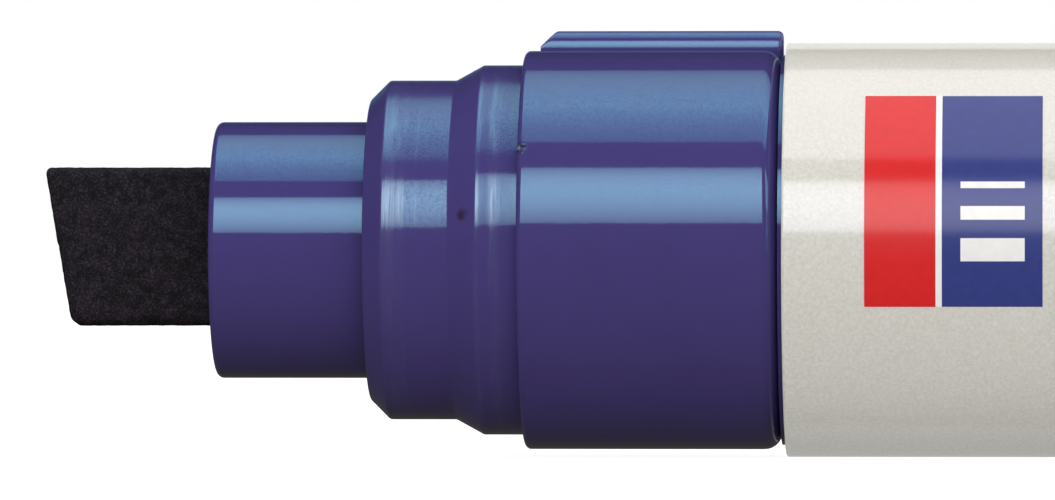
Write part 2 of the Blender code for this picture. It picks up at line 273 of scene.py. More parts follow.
class Look:
    """A node material, wired up from small steps. Sizes of grain are in metres."""

    def __init__(self, name, **sockets):
        self.material = bpy.data.materials.new(name)
        self.material.use_nodes = True
        self.tree = self.material.node_tree
        self.shader = self.tree.nodes["Principled BSDF"]
        for socket, value in sockets.items():
            self.shader.inputs[socket.replace("_", " ")].default_value = value
        coordinates = self.tree.nodes.new("ShaderNodeTexCoord").outputs
        self.place = coordinates["Object"]
        self.facing = coordinates["Normal"]

    def put(self, target, value):
        """Link a socket to another, or set it to a constant."""
        if isinstance(value, bpy.types.NodeSocket):
            self.tree.links.new(value, target)
        else:
            target.default_value = value

    def grain(self, size, stretch=(1, 1, 1), detail=2.0, roughness=0.5, seed=(0, 0, 0),
              turn=0.0):
        """Noise with grains of about the given size, drawn out along an axis by a stretch over 1.

        The turn swings the grains about Y, the marker's side.
        """
        mapping = self.tree.nodes.new("ShaderNodeMapping")
        mapping.vector_type = 'TEXTURE'
        mapping.inputs["Scale"].default_value = [size * longer for longer in stretch]
        mapping.inputs["Location"].default_value = [-size * shift for shift in seed]
        mapping.inputs["Rotation"].default_value = (0.0, turn, 0.0)
        texture = self.tree.nodes.new("ShaderNodeTexNoise")
        texture.inputs["Scale"].default_value = 1.0
        texture.inputs["Detail"].default_value = detail
        texture.inputs["Roughness"].default_value = roughness
        self.put(mapping.inputs["Vector"], self.place)
        self.put(texture.inputs["Vector"], mapping.outputs["Vector"])
        return texture.outputs["Fac"]

    def spots(self, size, seed=(0, 0, 0)):
        """Distance to scattered points, for pits and specks."""
        mapping = self.tree.nodes.new("ShaderNodeMapping")
        mapping.inputs["Scale"].default_value = [1 / size] * 3
        mapping.inputs["Location"].default_value = seed
        texture = self.tree.nodes.new("ShaderNodeTexVoronoi")
        texture.inputs["Scale"].default_value = 1.0
        self.put(mapping.inputs["Vector"], self.place)
        self.put(texture.inputs["Vector"], mapping.outputs["Vector"])
        return texture.outputs["Distance"]

    def blot(self, centre, radius):
        """Ragged spot about a point: 1 inside it, 0 outside."""
        distance = self.tree.nodes.new("ShaderNodeVectorMath")
        distance.operation = 'DISTANCE'
        self.put(distance.inputs[0], self.place)
        self.put(distance.inputs[1], centre)
        ragged = self.vary(self.grain(radius), -radius / 3, radius / 3)
        uneven = self.sums('ADD', distance.outputs["Value"], ragged)
        return self.span(uneven, radius / 4, radius, 1.0, 0.0)

    def along(self):
        """Place along the marker, in metres."""
        split = self.tree.nodes.new("ShaderNodeSeparateXYZ")
        self.put(split.inputs["Vector"], self.place)
        return split.outputs["X"]

    def upward(self, low, high):
        """How far a surface faces up: from a low value on its sides to a high one near its top."""
        split = self.tree.nodes.new("ShaderNodeSeparateXYZ")
        self.put(split.inputs["Vector"], self.facing)
        return self.span(split.outputs["Z"], SIDE_FACES_UP, TOP_FACES_UP, low, high)

    def span(self, value, low, high, to_low=0.0, to_high=1.0):
        """Map a value from one range to another, clamped."""
        ranged = self.tree.nodes.new("ShaderNodeMapRange")
        self.put(ranged.inputs["Value"], value)
        ranged.inputs["From Min"].default_value = low
        ranged.inputs["From Max"].default_value = high
        self.put(ranged.inputs["To Min"], to_low)
        self.put(ranged.inputs["To Max"], to_high)
        return ranged.outputs["Result"]

    def vary(self, grain, low=0.0, high=1.0):
        """Map grain from the range that nearly all of it lies in to a low and a high value."""
        return self.span(grain, GRAIN_LOW, GRAIN_HIGH, low, high)

    def sums(self, operation, first, second):
        """Combine two values by an operation of the Math node."""
        node = self.tree.nodes.new("ShaderNodeMath")
        node.operation = operation
        self.put(node.inputs[0], first)
        self.put(node.inputs[1], second)
        return node.outputs[0]

    def mix(self, factor, first, second):
        """Blend two colours."""
        node = self.tree.nodes.new("ShaderNodeMix")
        node.data_type = 'RGBA'
        self.put(node.inputs["Factor"], factor)
        self.put(node.inputs["A"], first)
        self.put(node.inputs["B"], second)
        return node.outputs["Result"]

    def source(self, name):
        """Socket that feeds an input of the shader now."""
        return self.shader.inputs[name].links[0].from_socket

    def colour(self, socket):
        self.put(self.shader.inputs["Base Color"], socket)

    def tint(self, socket):
        self.put(self.shader.inputs["Specular Tint"], socket)

    def roughness(self, socket):
        self.put(self.shader.inputs["Roughness"], socket)

    def bump(self, height, depth):
        """Relief of the given depth in metres, over any relief that is there already."""
        node = self.tree.nodes.new("ShaderNodeBump")
        node.inputs["Strength"].default_value = 1.0
        node.inputs["Distance"].default_value = depth
        self.put(node.inputs["Height"], height)
        links = self.shader.inputs["Normal"].links
        if links:
            self.put(node.inputs["Normal"], links[0].from_socket)
        self.put(self.shader.inputs["Normal"], node.outputs["Normal"])


def rgba(red, green, blue):
    """Opaque colour."""
    return (red, green, blue, 1.0)


def grey(level):
    """Opaque grey."""
    return rgba(level, level, level)


# Range that nearly all of a grain lies in
GRAIN_LOW = 0.3
GRAIN_HIGH = 0.7

# Blue mouldings and their wear
BLUE = rgba(0.053, 0.042, 0.170)
BLUE_DEEP = rgba(0.048, 0.038, 0.153)
GLOSS_TINT = rgba(0.228, 0.474, 0.602)
GLOSS_DULL = rgba(0.080, 0.190, 0.270)
BURNISHED_TINT = rgba(0.64, 0.90, 0.97)
PIT_TINT = rgba(0.05, 0.10, 0.14)
SCUFFED_BLUE = rgba(0.085, 0.085, 0.215)
SMUDGE = rgba(0.028, 0.019, 0.052)
CHIP = rgba(0.15, 0.21, 0.26)

# Felt, barrel, inks and the pieces inside
FELT_HOLLOW = rgba(0.0030, 0.0020, 0.0024)
FELT_CLUMP = rgba(0.0100, 0.0074, 0.0105)
FELT_FLECK = rgba(0.068, 0.056, 0.098)
SILVER_DIM = rgba(0.560, 0.546, 0.491)
SILVER = rgba(0.588, 0.574, 0.519)
# Flake colours on the sides and on top are painted light: the grain shows strongly on the sides and
# fades on top, as if the overhead highlight washed it out
FLAKE_SIDE_PAINTED_LIGHT = rgba(0.664, 0.649, 0.594)
FLAKE_TOP_PAINTED_HIGHLIGHT = rgba(0.640, 0.625, 0.570)
LACQUER_TINT = rgba(0.89, 0.88, 1.0)
INK_BLUE = rgba(0.036, 0.048, 0.205)
INK_RED = rgba(0.640, 0.022, 0.024)
INK_WHITE = rgba(0.82, 0.81, 0.79)
THIN_INK = 0.93
MILKY_DIM = rgba(0.74, 0.74, 0.71)
MILKY = rgba(0.82, 0.82, 0.80)
WADDING_DARK = rgba(0.008, 0.008, 0.020)
WADDING_PALE = rgba(0.040, 0.038, 0.085)
FILM_DIM = rgba(0.62, 0.64, 0.68)
FILM_PALE = rgba(0.78, 0.79, 0.81)
PLASTIC_IOR = 1.5

# Share of the surface's direction that points up, on the sides and near the top
SIDE_FACES_UP = 0.42
TOP_FACES_UP = 0.56

# Rings that the cap has scuffed pale or dull on its seat: distance from the shoulder and half
# width in metres, strength
SCUFF_RINGS = (
    (0.00964, 0.00022, 0.90),
    (0.00912, 0.00055, 1.00),
    (0.00842, 0.00045, 0.65),
    (0.00728, 0.00010, 0.50),
    (0.00288, 0.00024, 1.00),
    (0.00168, 0.00050, 1.00),
)
SCUFF_ELSEWHERE = 0.10
SCUFF_WOBBLE = 0.00010
SCUFF_COLOUR = 0.25
SCUFF_ROUGHNESS = 0.20
DULL_RINGS = (
    (0.00232, 0.00050, 0.50),
    (0.00080, 0.00060, 0.26),
)

# Marks of use on the front section: distance from the shoulder, and angle up from the side that
# faces the viewer
SMUDGE_PLACE = (0.0039, math.radians(11.0))
SMUDGE_RADIUS = 0.00055
NICK_PLACE = (-0.0001, math.radians(30.4))
NICK_RADIUS = 0.00060
CHIP_RADIUS = 0.00028
NICK_DEPTH = 0.00004


def blue_plastic(name):
    """Glossy moulding with a faint cloud in its colour, fine dull specks and a fine skin."""
    look = Look(name, IOR=PLASTIC_IOR, Specular_IOR_Level=1.0)
    cloud = look.grain(0.004)
    look.colour(look.mix(cloud, BLUE_DEEP, BLUE))
    specks = look.grain(0.00014)
    dull = look.span(specks, 0.42, 0.70, 0.0, look.upward(0.30, 1.0))
    look.tint(look.mix(dull, GLOSS_TINT, GLOSS_DULL))
    haze = look.grain(0.0003, detail=3)
    look.roughness(look.vary(haze, 0.04, 0.08))
    skin = look.grain(0.0002)
    look.bump(skin, depth=0.0000012)
    return look


def worn_seat_plastic(name, tip, shoulder):
    """Blue plastic that a cap has scuffed into pale rings on its seat, with grit and pits."""
    look = blue_plastic(name)
    along = look.along()
    edge = math.copysign(CLEARANCE, shoulder - tip)
    inside = look.sums('MULTIPLY', look.span(along, tip, tip + edge),
                       look.span(along, shoulder, shoulder - edge))
    wobble = look.vary(look.grain(0.003), -SCUFF_WOBBLE, SCUFF_WOBBLE)
    distance = look.sums('ADD', look.span(along, shoulder, tip, 0.0, SEAT_LENGTH), wobble)

    def ring(centre, half_width, strength):
        rise = look.span(distance, centre - half_width, centre - half_width / 3, 0.0, strength)
        fall = look.span(distance, centre + half_width / 3, centre + half_width, 1.0, 0.0)
        return look.sums('MULTIPLY', rise, fall)

    rings = SCUFF_ELSEWHERE
    for sizes in SCUFF_RINGS:
        rings = look.sums('MAXIMUM', rings, ring(*sizes))
    threads = look.grain(0.004, (0.022, 1, 1), detail=4, seed=(3, 1, 2))
    threads = look.span(threads, 0.30, 0.62)
    patches = look.grain(0.005, (0.20, 1, 1), seed=(5, 2, 7))
    patches = look.span(patches, 0.32, 0.52, 0.30, 1.0)
    scuffs = look.sums('MULTIPLY', look.sums('MULTIPLY', rings, threads), patches)
    scuffs = look.sums('MULTIPLY', scuffs, inside)

    chosen = look.span(look.grain(0.0018, seed=(1, 4, 9)), 0.44, 0.52)
    uneven = look.span(look.grain(0.0007, seed=(2, 6, 1)), 0.35, 0.65, 0.0, 0.08)
    pits = look.span(look.sums('ADD', look.spots(0.0006), uneven), 0.10, 0.26, 0.65, 0.0)
    pits = look.sums('MULTIPLY', look.sums('MULTIPLY', pits, chosen), inside)
    grit = look.grain(0.00016, roughness=0.6, seed=(8, 3, 6))
    grit = look.span(grit, 0.44, 0.66, 0.0, look.upward(0.50, 0.95))
    grit = look.sums('MULTIPLY', grit, inside)
    dull = look.sums('MAXIMUM', pits, grit)
    for sizes in DULL_RINGS:
        dull = look.sums('MAXIMUM', dull, ring(*sizes))

    faint = look.sums('MULTIPLY', scuffs, SCUFF_COLOUR)
    look.colour(look.mix(faint, look.source("Base Color"), SCUFFED_BLUE))
    dulled = look.mix(dull, look.source("Specular Tint"), PIT_TINT)
    look.tint(look.mix(scuffs, dulled, BURNISHED_TINT))
    look.roughness(look.span(scuffs, 0.0, 1.0, look.source("Roughness"), SCUFF_ROUGHNESS))
    ripple = look.grain(0.0012, (0.12, 1, 1), detail=3)
    look.bump(look.sums('MULTIPLY', ripple, inside), depth=0.000004)
    look.bump(pits, depth=-0.000002)
    look.bump(look.sums('MULTIPLY', grit, look.upward(0.15, 1.0)), depth=-0.000005)
    return look


def use_marks(look, shoulder):
    """An ink smudge on the seat's cone and a nick on the grip's front edge."""

    def on_front(place, radius):
        distance, angle = place
        return (shoulder - distance, -radius * math.cos(angle), AXIS_Z + radius * math.sin(angle))

    cone_radius = (SEAT_FRONT_RADIUS + SEAT_REAR_RADIUS) / 2
    smudge = look.blot(on_front(SMUDGE_PLACE, cone_radius), SMUDGE_RADIUS)
    nick_centre = on_front(NICK_PLACE, GRIP_RADIUS)
    nick = look.blot(nick_centre, NICK_RADIUS)
    chip = look.blot(nick_centre, CHIP_RADIUS)
    marks = look.sums('MAXIMUM', smudge, nick)
    look.colour(look.mix(chip, look.mix(marks, look.source("Base Color"), SMUDGE), CHIP))
    look.tint(look.mix(marks, look.source("Specular Tint"), PIT_TINT))
    look.bump(nick, depth=-NICK_DEPTH)


def felt(name):
    """Pressed black fibre, soaked with ink: bluish flecks and short strands over dark clumps."""
    look = Look(name, Specular_IOR_Level=0.15)
    fleck = look.span(look.grain(0.00016, detail=4, roughness=0.75), 0.52, 0.72)
    for index, degrees in enumerate((15, 75, 135)):
        strands = look.grain(0.00010, (3, 1, 1), detail=3, seed=(index, 2 * index, 5),
                             turn=math.radians(degrees))
        fleck = look.sums('MAXIMUM', fleck, look.span(strands, 0.58, 0.84))
    clump = look.span(look.grain(0.0008, detail=4, roughness=0.65), 0.38, 0.64)
    fleck = look.sums('MULTIPLY', fleck, look.span(clump, 0.0, 1.0, 0.35, 1.0))
    body = look.mix(clump, FELT_HOLLOW, FELT_CLUMP)
    look.colour(look.mix(fleck, body, FELT_FLECK))
    look.roughness(look.span(fleck, 0.0, 1.0, 0.95, 0.75))
    look.bump(fleck, depth=0.00004)
    nap = look.grain(0.00018, detail=4, roughness=0.7)
    look.bump(nap, depth=0.00003)
    return look


def lacquered_metal(name):
    """Silver paint under clear lacquer: fine flake grain toned by painted light, and a faint draw
    along the tube.
    """
    look = Look(name, IOR=PLASTIC_IOR, Specular_IOR_Level=0.5, Specular_Tint=LACQUER_TINT)
    flake = look.grain(0.00024, detail=3, roughness=0.65)
    cloud = look.grain(0.006)
    base = look.mix(cloud, SILVER_DIM, SILVER)
    # Painted light: the flakes are paler on the sides than on top, so their grain is strong in the
    # shade and faint under the overhead highlight
    flake_by_painted_light = look.mix(look.upward(0.0, 1.0), FLAKE_SIDE_PAINTED_LIGHT, FLAKE_TOP_PAINTED_HIGHLIGHT)
    look.colour(look.mix(look.span(flake, 0.35, 0.65), base, flake_by_painted_light))
    look.roughness(look.vary(flake, 0.08, 0.15))
    look.bump(flake, depth=0.0000012)
    draw = look.grain(0.0006, (12, 1, 1), detail=3)
    look.bump(draw, depth=0.0000006)
    return look


def ink(name, full):
    """Screen-printed ink with slightly uneven cover."""
    look = Look(name, IOR=PLASTIC_IOR, Specular_IOR_Level=0.22)
    thin = rgba(*[channel * THIN_INK for channel in full[:3]])
    cover = look.grain(0.0007, detail=4)
    look.colour(look.mix(look.vary(cover), thin, full))
    haze = look.grain(0.0002, detail=3)
    look.roughness(look.vary(haze, 0.12, 0.20))
    weave = look.grain(0.00015)
    look.bump(weave, depth=0.000002)
    return look


def milky_plastic(name):
    """Natural polyethylene: milky white, a little see-into, with a soft sheen."""
    look = Look(name, IOR=PLASTIC_IOR, Subsurface_Weight=0.25, Subsurface_Scale=0.001)
    cloud = look.grain(0.002)
    look.colour(look.mix(cloud, MILKY_DIM, MILKY))
    haze = look.grain(0.0004, detail=3)
    look.roughness(look.vary(haze, 0.38, 0.5))
    skin = look.grain(0.0003)
    look.bump(skin, depth=0.000003)
    return look


def soaked_wadding(name):
    """Bundled fibre that runs along the marker, soaked with dark ink."""
    look = Look(name, Specular_IOR_Level=0.3)
    fibre = look.grain(0.0003, (14, 1, 1), detail=4)
    look.colour(look.mix(fibre, WADDING_DARK, WADDING_PALE))
    look.roughness(look.vary(fibre, 0.95, 0.75))
    look.bump(fibre, depth=0.00008)
    return look


def clear_film(name):
    """Thin pale film, slightly crinkled."""
    look = Look(name, IOR=PLASTIC_IOR)
    crinkle = look.grain(0.003, (2, 1, 1), detail=3)
    look.colour(look.mix(crinkle, FILM_DIM, FILM_PALE))
    look.roughness(look.vary(crinkle, 0.22, 0.35))
    look.bump(crinkle, depth=0.00005)
    return look


def add(piece, body, slot, *nodes):
    """Let a piece ride on a body and stand for its nodes. The slot is not used."""
    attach(piece, body)
    if nodes:
        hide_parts(*nodes)
    return piece


def seat_corners(shoulder, outward):
    """Corners of a cap seat from its shoulder to its chamfered end."""
    rear_ring = shoulder + outward * SEAT_REAR_LENGTH
    cone = rear_ring + outward * SEAT_CONE_LENGTH
    end = shoulder + outward * SEAT_LENGTH
    return [
        (shoulder, SEAT_REAR_RADIUS),
        (rear_ring, SEAT_REAR_RADIUS, CONE_ROUND),
        (cone, SEAT_FRONT_RADIUS, CONE_ROUND),
        (end - outward * SEAT_CHAMFER, SEAT_FRONT_RADIUS, SEAT_CHAMFER_ROUND),
        (end, SEAT_FRONT_RADIUS - SEAT_CHAMFER, SEAT_CHAMFER_ROUND),
    ]


def make_front_section():
    """Cap seat, grip and plug in one moulding, with a recess for the nib's collar."""
    nose = FRONT_LOW.x
    shoulder = nose + SEAT_LENGTH
    grip_rear = BARREL_LOW.x - CLEARANCE
    bore = SPIGOT_RADIUS + CLEARANCE
    recess = COLLAR_RADIUS + CLEARANCE
    sunk = nose + COLLAR_SINK
    inside = sunk + NOSE_WALL
    chamber = WRAP_LOW.x - CLEARANCE
    corners = [(sunk, bore), (sunk, recess), (nose, recess)]
    corners += reversed(seat_corners(shoulder, -1))
    corners += [
        (shoulder, GRIP_RADIUS, GRIP_FRONT_ROUND),
        (grip_rear, GRIP_RADIUS, GRIP_REAR_ROUND),
        (grip_rear, PLUG_RADIUS),
        (FRONT_HIGH.x, PLUG_RADIUS),
        (FRONT_HIGH.x, PLUG_BORE_RADIUS),
        (chamber, PLUG_BORE_RADIUS),
        (chamber, SEAT_BORE_RADIUS),
        (inside, SEAT_BORE_RADIUS),
        (inside, bore),
    ]
    look = worn_seat_plastic("blue_front", nose, shoulder)
    use_marks(look, shoulder)
    section = lathe("front_section_shell", corners, look.material)
    even_normals(section)
    add(section, "body", "blue_plastic", "front_section")


def rib_section(along, inset, ramp):
    """Outline across the rib at a place along it, drawn in by an inset and cut down to the ramp.

    The blend rounds the edge where the ramp cuts the rib.
    """
    surface = AXIS_Z + GRIP_RADIUS
    half_width = RIB_WIDTH / 2 - inset
    rise = FRONT_HIGH.z - surface - inset
    outline = [(-half_width, surface - RIB_ROOT), (half_width, surface - RIB_ROOT)]
    for step in range(RIB_STEPS + 1):
        turn = math.pi * step / RIB_STEPS
        height = surface + rise * math.sin(turn)
        blend = max(RAMP_BLEND - abs(height - ramp), 0) ** 2 / (4 * RAMP_BLEND)
        outline.append((half_width * math.cos(turn), min(height, ramp) - blend))
    return [(along, across, height) for across, height in outline]


def make_rib():
    """Anti-roll rib: half an ellipse across, with a ramp in front and a rounded rear end."""
    front = FRONT_LOW.x + SEAT_LENGTH + RIB_FRONT_INSET
    rear = BARREL_LOW.x - RIB_REAR_GAP
    nose = AXIS_Z + GRIP_RADIUS + RIB_NOSE
    ramp_length = FRONT_HIGH.z + RAMP_BLEND - nose
    stations = [(front + ramp_length * step / RAMP_STEPS, 0) for step in range(RAMP_STEPS + 1)]
    for step in range(FILLET_STEPS + 1):
        turn = math.pi / 2 * step / FILLET_STEPS
        short_of_rear = RIB_REAR_ROUND * (1 - math.sin(turn))
        inset = RIB_REAR_ROUND * (1 - math.cos(turn))
        stations.append((rear - short_of_rear, inset))
    shape = bmesh.new()
    loops = []
    for along, inset in stations:
        section = rib_section(along, inset, nose + along - front)
        loops.append([shape.verts.new(point) for point in section])
    for loop, other in zip(loops, loops[1:]):
        bridge(shape, loop, other)
    shape.faces.new(loops[0])
    shape.faces.new(loops[-1])
    rib = finish_piece("anti_roll_rib", shape, blue_plastic("blue_rib").material)
    even_normals(rib)
    rib.visible_glossy = False
    add(rib, "body", "blue_plastic")


def make_collar():
    """Collar with its spigot, and a channel for the nib with an air groove on each side."""
    seat = FRONT_LOW.x + COLLAR_SINK - CLEARANCE
    look = blue_plastic("blue_collar")
    collar = lathe("nib_collar_shell", [
        (COLLAR_LOW.x, 0),
        (COLLAR_LOW.x, COLLAR_RADIUS, COLLAR_ROUND),
        (seat, COLLAR_RADIUS),
        (seat, SPIGOT_RADIUS),
        (COLLAR_HIGH.x, SPIGOT_RADIUS),
        (COLLAR_HIGH.x, 0),
    ], look.material)
    groove = VENT_WIDTH / 2
    deep = CHANNEL_SIDE + VENT_DEPTH
    half = [
        (CHANNEL_TOP, CHANNEL_SIDE),
        (groove, CHANNEL_SIDE),
        (groove, deep),
        (-groove, deep),
        (-groove, CHANNEL_SIDE),
        (-CHANNEL_TOP, CHANNEL_SIDE),
    ]
    outline = half + [(-up, -across) for up, across in half]
    margin = COLLAR_RADIUS
    start = COLLAR_LOW.x - margin
    channel = prism("nib_channel", [(start, across, AXIS_Z + up) for up, across in outline],
                    (COLLAR_HIGH.x - COLLAR_LOW.x + 2 * margin, 0, 0), look.material)
    cut(collar, channel)
    even_normals(collar)
    add(collar, "body", "blue_plastic", "nib_collar")


def nib_point(along, across, up):
    """Move a point of the nib's plain block to its place on the rounded, slanted nib."""
    corner = NIB_TIP_ROUND if up > 0 else NIB_HEEL_ROUND
    core = Vector((
        min(max(along, corner), NIB_LENGTH - corner),
        min(max(across, corner - NIB_SIDE), NIB_SIDE - corner),
        min(max(up, corner - NIB_TOP), NIB_TOP - corner),
    ))
    outward = Vector((along, across, up)) - core
    if outward.length > 0:
        core += outward.normalized() * corner
    near_tip = max(0.0, 1.0 - core.x / NIB_EXPOSED)
    slanted = core.x + near_tip * (NIB_TOP - core.z) * math.tan(NIB_SLANT)
    near_rear = max(0.0, 1.0 - (NIB_LENGTH - core.x) / NIB_POINT_LENGTH)
    height = core.z * (1.0 - near_rear * NIB_POINT_STEP / NIB_TOP)
    return Vector((NIB_LOW.x - NIB_REACH + slanted, core.y, AXIS_Z + NIB_RISE + height))


def make_nib():
    """Felt block on a fine grid, rounded, slanted, and roughened like pressed fibre."""
    size = NIB_HIGH - NIB_LOW
    cells = [max(2, round(side / NIB_CELL)) for side in size]
    shape = bmesh.new()
    corners = {}

    def corner(index):
        if index not in corners:
            along, across, up = (size[axis] * index[axis] / cells[axis] for axis in range(3))
            place = nib_point(along, across - size.y / 2, up - size.z / 2)
            corners[index] = shape.verts.new(place)
        return corners[index]

    for axis in range(3):
        first, second = [other for other in range(3) if other != axis]
        for level in (0, cells[axis]):
            for i in range(cells[first]):
                for j in range(cells[second]):
                    quad = []
                    for step_i, step_j in ((0, 0), (1, 0), (1, 1), (0, 1)):
                        index = [0, 0, 0]
                        index[axis] = level
                        index[first] = i + step_i
                        index[second] = j + step_j
                        quad.append(corner(tuple(index)))
                    shape.faces.new(quad)
    bmesh.ops.recalc_face_normals(shape, faces=shape.faces)
    shape.normal_update()
    moves = []
    for vert in shape.verts:
        lump = NIB_LUMP_DEPTH * noise.noise(vert.co / NIB_LUMP)
        fibre = NIB_FIBRE_DEPTH * noise.noise(vert.co / NIB_FIBRE)
        moves.append((vert, vert.normal * (lump + fibre - NIB_SINK)))
    for vert, move in moves:
        vert.co += move
    nib = finish_piece("felt_nib", shape, felt("nib_felt").material)
    add(nib, "nib", "nib_felt", "nib")


def make_barrel():
    """Open tube with rolled rims."""
    inside = BARREL_RADIUS - BARREL_WALL
    barrel = lathe("barrel_tube", [
        (BARREL_LOW.x, BARREL_RADIUS, BARREL_RIM_ROUND),
        (BARREL_HIGH.x, BARREL_RADIUS, BARREL_RIM_ROUND),
        (BARREL_HIGH.x, inside, BARREL_RIM_ROUND),
        (BARREL_LOW.x, inside, BARREL_RIM_ROUND),
    ], lacquered_metal("barrel_lacquer").material)
    even_normals(barrel)
    return add(barrel, "body", "barrel_metal", "barrel")


def on_barrel(along, angle, height):
    """Point on the barrel, at an angle up from the side that faces the viewer."""
    radius = BARREL_RADIUS + height
    return (along, -radius * math.cos(angle), AXIS_Z + radius * math.sin(angle))


def print_patch(name, left, right, low, high, layer, look):
    """Thin slab of ink on the barrel over a rectangle, in shares of the panel.

    A higher layer lies on a lower one.
    """
    shape = bmesh.new()
    sheets = []
    for height in (INK_HEIGHT * (layer + 1), INK_HEIGHT * layer - INK_HEIGHT / 2):
        sheet = []
        for row in range(PRINT_ROWS + 1):
            up = low + (high - low) * row / PRINT_ROWS
            angle = PANEL_BOTTOM + (PANEL_TOP - PANEL_BOTTOM) * up
            line = []
            for column in range(PRINT_COLUMNS + 1):
                share = left + (right - left) * column / PRINT_COLUMNS
                along = BARREL_LOW.x + PANEL_START + PANEL_LENGTH * share
                line.append(shape.verts.new(on_barrel(along, angle, height)))
            sheet.append(line)
        sheets.append(sheet)
    outer, inner = sheets
    for sheet in sheets:
        for row in range(PRINT_ROWS):
            for column in range(PRINT_COLUMNS):
                shape.faces.new([sheet[row][column], sheet[row][column + 1],
                                 sheet[row + 1][column + 1], sheet[row + 1][column]])
    for row in range(PRINT_ROWS):
        for column in (0, PRINT_COLUMNS):
            shape.faces.new([outer[row][column], outer[row + 1][column],
                             inner[row + 1][column], inner[row][column]])
    for column in range(PRINT_COLUMNS):
        for row in (0, PRINT_ROWS):
            shape.faces.new([outer[row][column], outer[row][column + 1],
                             inner[row][column + 1], inner[row][column]])
    patch = finish_piece(name, shape, look.material)
    return add(patch, "body", "barrel_metal")


def make_panel():
    """Printed panel: a red column, a white rule and a blue field with three white strokes."""
    navy = ink("ink_blue", INK_BLUE)
    red = ink("ink_red", INK_RED)
    white = ink("ink_white", INK_WHITE)
    rule_end = COLUMN_SHARE + RULE_SHARE
    patches = [
        print_patch("panel_field", 0, 1, 0, 1, 0, navy),
        print_patch("panel_column", 0, COLUMN_SHARE, 0, 1, 1, red),
        print_patch("panel_rule", COLUMN_SHARE, rule_end, 0, 1, 1, white),
    ]
    for index, (low, width) in enumerate(STROKES):
        patches.append(print_patch(f"panel_stroke_{index}", STROKE_LEFT, STROKE_RIGHT,
                                   low, low + width, 1, white))
    return patches


def make_reservoir():
    """Wadding with a pocket for the nib's rear end, and the film round it."""
    look = soaked_wadding("wadding_fibre")
    wadding = lathe("reservoir_wadding", [
        (WADDING_LOW.x, 0),
        (WADDING_LOW.x, WADDING_RADIUS, WRAP_WALL),
        (WADDING_HIGH.x, WADDING_RADIUS, WRAP_WALL),
        (WADDING_HIGH.x, 0),
    ], look.material)
    floor = NIB_HIGH.x + CLEARANCE
    outline = [
        (CHANNEL_TOP, CHANNEL_SIDE),
        (-CHANNEL_TOP, CHANNEL_SIDE),
        (-CHANNEL_TOP, -CHANNEL_SIDE),
        (CHANNEL_TOP, -CHANNEL_SIDE),
    ]
    pocket = prism("nib_pocket", [(floor, across, AXIS_Z + up) for up, across in outline],
                   (2 * (WADDING_LOW.x - floor), 0, 0), look.material)
    cut(wadding, pocket)
    add(wadding, "body", "wadding", "ink_reservoir")
    inside = WRAP_RADIUS - WRAP_WALL
    wrap = lathe("reservoir_film", [
        (WRAP_LOW.x, WRAP_RADIUS),
        (WRAP_HIGH.x, WRAP_RADIUS),
        (WRAP_HIGH.x, inside),
        (WRAP_LOW.x, inside),
    ], clear_film("film_clear").material)
    add(wrap, "body", "film", "reservoir_wrap")


def make_tail():
    """Plug with a flange and a copy of the front seat, for the posted cap."""
    flange = BARREL_HIGH.x + CLEARANCE
    shoulder = flange + FLANGE_LENGTH
    corners = [
        (TAIL_HIGH.x - TAIL_WALL, 0),
        (TAIL_HIGH.x - TAIL_WALL, SEAT_BORE_RADIUS),
        (flange, SEAT_BORE_RADIUS),
        (flange, PLUG_BORE_RADIUS),
        (TAIL_LOW.x, PLUG_BORE_RADIUS),
        (TAIL_LOW.x, PLUG_RADIUS),
        (flange, PLUG_RADIUS),
        (flange, GRIP_RADIUS, FLANGE_ROUND),
        (shoulder, GRIP_RADIUS, FLANGE_ROUND),
    ]
    corners += seat_corners(shoulder, 1)
    corners += [(TAIL_HIGH.x, 0)]
    look = worn_seat_plastic("blue_tail", TAIL_HIGH.x, shoulder)
    tail = lathe("tail_plug_shell", corners, look.material)
    even_normals(tail)
    return add(tail, "body", "blue_plastic", "tail_plug")


def make_cap():
    """Tapered cap with a dished end, a stepped bore for the seat and a socket for the liner."""
    floor = CAP_HIGH.x - CAP_WALL_FLOOR
    rear_bore = SEAT_REAR_RADIUS + CLEARANCE
    front_bore = SEAT_FRONT_RADIUS + CLEARANCE
    socket = LINER_RADIUS + CLEARANCE
    socket_rim = floor - LINER_SOCKET
    end_radius = CAP_RADIUS - CAP_TAPER
    dish_radius = end_radius - CAP_RIM_WIDTH
    mouth = CAP_LOW.x
    cap = lathe("cap_outer", [
        (floor, 0),
        (floor, socket),
        (socket_rim, socket),
        (socket_rim - (front_bore - socket), front_bore),
        (mouth + SEAT_REAR_LENGTH + SEAT_CONE_LENGTH, front_bore),
        (mouth + SEAT_REAR_LENGTH, rear_bore),
        (mouth, rear_bore),
        (mouth, CAP_RADIUS, CLEARANCE),
        (CAP_HIGH.x, end_radius, CAP_END_ROUND),
        (CAP_HIGH.x, dish_radius, CLEARANCE),
        (CAP_HIGH.x - CAP_DISH, dish_radius - CAP_DISH, CLEARANCE),
        (CAP_HIGH.x - CAP_DISH, 0),
    ], blue_plastic("blue_cap").material)
    even_normals(cap)
    return add(cap, "cap", "blue_plastic", "cap_shell")


def make_liner():
    """Inner cup that seals round the nib's collar."""
    bore = LINER_RADIUS - LINER_WALL
    liner = lathe("cap_liner_cup", [
        (LINER_HIGH.x - LINER_WALL, 0),
        (LINER_HIGH.x - LINER_WALL, bore, CLEARANCE),
        (LINER_LOW.x, bore, CLEARANCE),
        (LINER_LOW.x, LINER_RADIUS, CLEARANCE),
        (LINER_HIGH.x, LINER_RADIUS, CLEARANCE),
        (LINER_HIGH.x, 0),
    ], milky_plastic("liner_milky").material)
    even_normals(liner)
    add(liner, "cap", "liner_plastic", "cap_liner")


